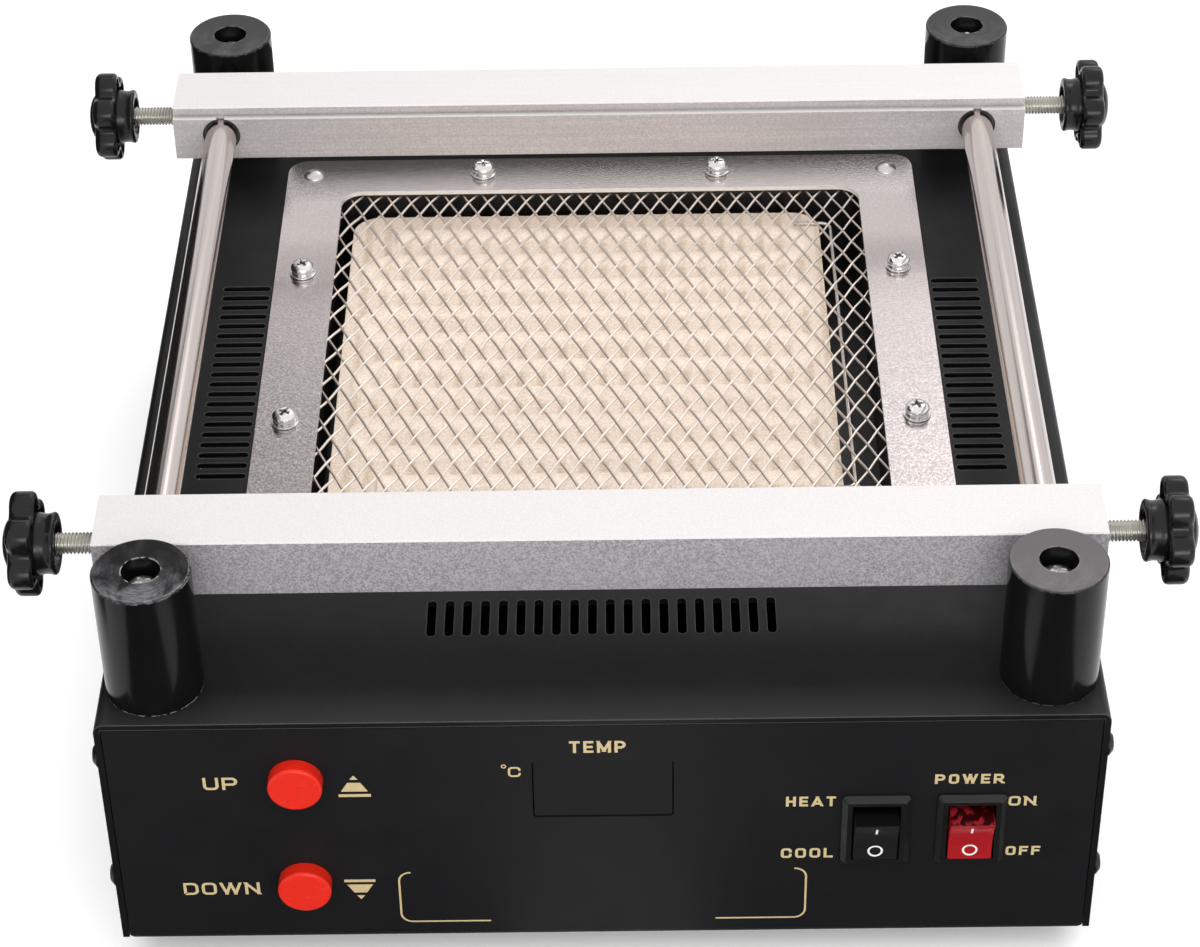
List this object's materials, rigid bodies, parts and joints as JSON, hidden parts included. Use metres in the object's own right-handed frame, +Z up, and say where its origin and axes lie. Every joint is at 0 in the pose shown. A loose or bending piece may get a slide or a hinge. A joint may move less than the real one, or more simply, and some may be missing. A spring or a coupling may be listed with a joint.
{
  "type": "preheating station",
  "caption": "Bench preheating station for circuit boards: ceramic hot plate under wire mesh in a sheet metal case, with clamping bars that slide on rods.",
  "frame": {"origin": "middle of the footprint, on the surface that the feet stand on", "axes": "+Z up, -Y towards the control panel, +X to the right of someone who faces the panel"},
  "size_m": [0.2656, 0.2564, 0.1099],
  "materials": {
    "panel_black": "matte black paint on steel",
    "case_black": "satin black powder coat on steel",
    "zinc_steel": "zinc-plated steel",
    "screw_black": "black oxide on steel",
    "foot_rubber": "matte black rubber",
    "tray_steel": "dark heat-tinted steel",
    "insulation": "pressed mineral fibre board",
    "heater_ceramic": "cream glazed heater ceramic",
    "bright_wire": "bright stainless wire",
    "polished_steel": "polished stainless sheet",
    "post_black": "turned black plastic",
    "rod_chrome": "hard chromed and ground",
    "bar_aluminium": "fine blasted aluminium",
    "knob_black": "moulded black plastic",
    "window_dark": "dark tinted window",
    "part_black": "moulded black plastic",
    "board_green": "green board lacquer",
    "standoff_brass": "turned brass",
    "button_red": "moulded red plastic",
    "switch_black": "moulded black plastic",
    "rocker_red": "translucent red plastic",
    "terminal_brass": "tinned brass",
    "transformer_steel": "varnished laminations and winding",
    "heatsink_aluminium": "extruded aluminium"
  },
  "bodies": {
    "station": {"chassis": "panel_black", "top_cover": "case_black", "cover_screws": "screw_black", "feet": "foot_rubber", "foot_screws": "zinc_steel", "heater_tray": "tray_steel", "insulation_pad": "insulation", "heater_bushes": "heater_ceramic", "ceramic_heater": "heater_ceramic", "heater_clip": "bright_wire", "thermocouple": "bright_wire", "bezel_plate": "polished_steel", "wire_mesh": "bright_wire", "plate_screws": "zinc_steel", "plate_washers": "zinc_steel", "plate_nuts": "zinc_steel", "plate_rivets": "polished_steel", "front_left_post": "post_black", "front_right_post": "post_black", "rear_left_post": "post_black", "rear_right_post": "post_black", "post_screws": "zinc_steel", "post_nuts": "zinc_steel", "left_rod": "rod_chrome", "right_rod": "rod_chrome", "display_window": "window_dark", "display_module": "part_black", "display_board": "board_green", "key_switches": "part_black", "board_standoffs": "standoff_brass", "board_screws": "zinc_steel", "heat_switch_housing": "switch_black", "power_switch_housing": "switch_black", "switch_terminals": "terminal_brass", "power_board": "board_green", "power_standoffs": "zinc_steel", "transformer": "transformer_steel", "triac_heatsink": "heatsink_aluminium", "fan_frame": "part_black", "fan_screws": "zinc_steel", "mains_inlet": "part_black", "inlet_screws": "zinc_steel", "inlet_pins": "terminal_brass", "fuse_holder": "part_black"},
    "front_bar": {"front_bar": "bar_aluminium"},
    "rear_bar": {"rear_bar": "bar_aluminium"},
    "front_left_screw": {"front_left_stud": "zinc_steel"},
    "front_right_screw": {"front_right_stud": "zinc_steel"},
    "rear_left_screw": {"rear_left_stud": "zinc_steel"},
    "rear_right_screw": {"rear_right_stud": "zinc_steel"},
    "front_left_knob": {"front_left_knob": "knob_black"},
    "front_right_knob": {"front_right_knob": "knob_black"},
    "rear_left_knob": {"rear_left_knob": "knob_black"},
    "rear_right_knob": {"rear_right_knob": "knob_black"},
    "up_button": {"up_button": "button_red"},
    "down_button": {"down_button": "button_red"},
    "heat_rocker": {"heat_rocker": "switch_black"},
    "power_rocker": {"power_rocker": "rocker_red"},
    "fan_rotor": {"fan_rotor": "part_black"}
  },
  "joints": [
    {"name": "front_bar_slide", "type": "slide", "parent": "station", "child": "front_bar", "axis": [0, 1, 0], "range_m": [0, 0.074]},
    {"name": "rear_bar_slide", "type": "slide", "parent": "station", "child": "rear_bar", "axis": [0, 1, 0], "range_m": [-0.074, 0.0044]},
    {"name": "front_left_screw_travel", "type": "slide", "parent": "front_bar", "child": "front_left_screw", "axis": [1, 0, 0], "range_m": [-0.004, 0.00008]},
    {"name": "front_right_screw_travel", "type": "slide", "parent": "front_bar", "child": "front_right_screw", "axis": [1, 0, 0], "range_m": [-0.00008, 0.004]},
    {"name": "rear_left_screw_travel", "type": "slide", "parent": "rear_bar", "child": "rear_left_screw", "axis": [1, 0, 0], "range_m": [-0.0024, 0.00188]},
    {"name": "rear_right_screw_travel", "type": "slide", "parent": "rear_bar", "child": "rear_right_screw", "axis": [1, 0, 0], "range_m": [-0.00188, 0.0024]},
    {"name": "front_left_knob_turn", "type": "hinge", "parent": "front_left_screw", "child": "front_left_knob", "pos_m": [-0.12, -0.08895, 0.098], "axis": [1, 0, 0], "range_deg": [-1800, 36]},
    {"name": "front_right_knob_turn", "type": "hinge", "parent": "front_right_screw", "child": "front_right_knob", "pos_m": [0.12, -0.08895, 0.098], "axis": [1, 0, 0], "range_deg": [-36, 1800]},
    {"name": "rear_left_knob_turn", "type": "hinge", "parent": "rear_left_screw", "child": "rear_left_knob", "pos_m": [-0.12, 0.08455, 0.098], "axis": [1, 0, 0], "range_deg": [-1080, 846]},
    {"name": "rear_right_knob_turn", "type": "hinge", "parent": "rear_right_screw", "child": "rear_right_knob", "pos_m": [0.12, 0.08455, 0.098], "axis": [1, 0, 0], "range_deg": [-846, 1080]},
    {"name": "up_button_press", "type": "slide", "parent": "station", "child": "up_button", "axis": [0, 1, 0], "range_m": [0, 0.001], "stiffness_N_per_m": 600},
    {"name": "down_button_press", "type": "slide", "parent": "station", "child": "down_button", "axis": [0, 1, 0], "range_m": [0, 0.001], "stiffness_N_per_m": 600},
    {"name": "heat_rocker_tip", "type": "hinge", "parent": "station", "child": "heat_rocker", "pos_m": [0.0602, -0.1219, 0.0414], "axis": [1, 0, 0], "range_deg": [-28, 0]},
    {"name": "power_rocker_tip", "type": "hinge", "parent": "station", "child": "power_rocker", "pos_m": [0.0812, -0.1219, 0.0414], "axis": [1, 0, 0], "range_deg": [-28, 0]},
    {"name": "fan_spin", "type": "hinge", "parent": "station", "child": "fan_rotor", "pos_m": [-0.058, 0.11, 0.0415], "axis": [0, 1, 0], "continuous": true}
  ],
  "couplings": [
    {"joint": "front_left_screw_travel", "follows": "front_left_knob_turn", "m_per_rad": 0.00012732},
    {"joint": "front_right_screw_travel", "follows": "front_right_knob_turn", "m_per_rad": 0.00012732},
    {"joint": "rear_left_screw_travel", "follows": "rear_left_knob_turn", "m_per_rad": 0.00012732},
    {"joint": "rear_right_screw_travel", "follows": "rear_right_knob_turn", "m_per_rad": 0.00012732}
  ]
}
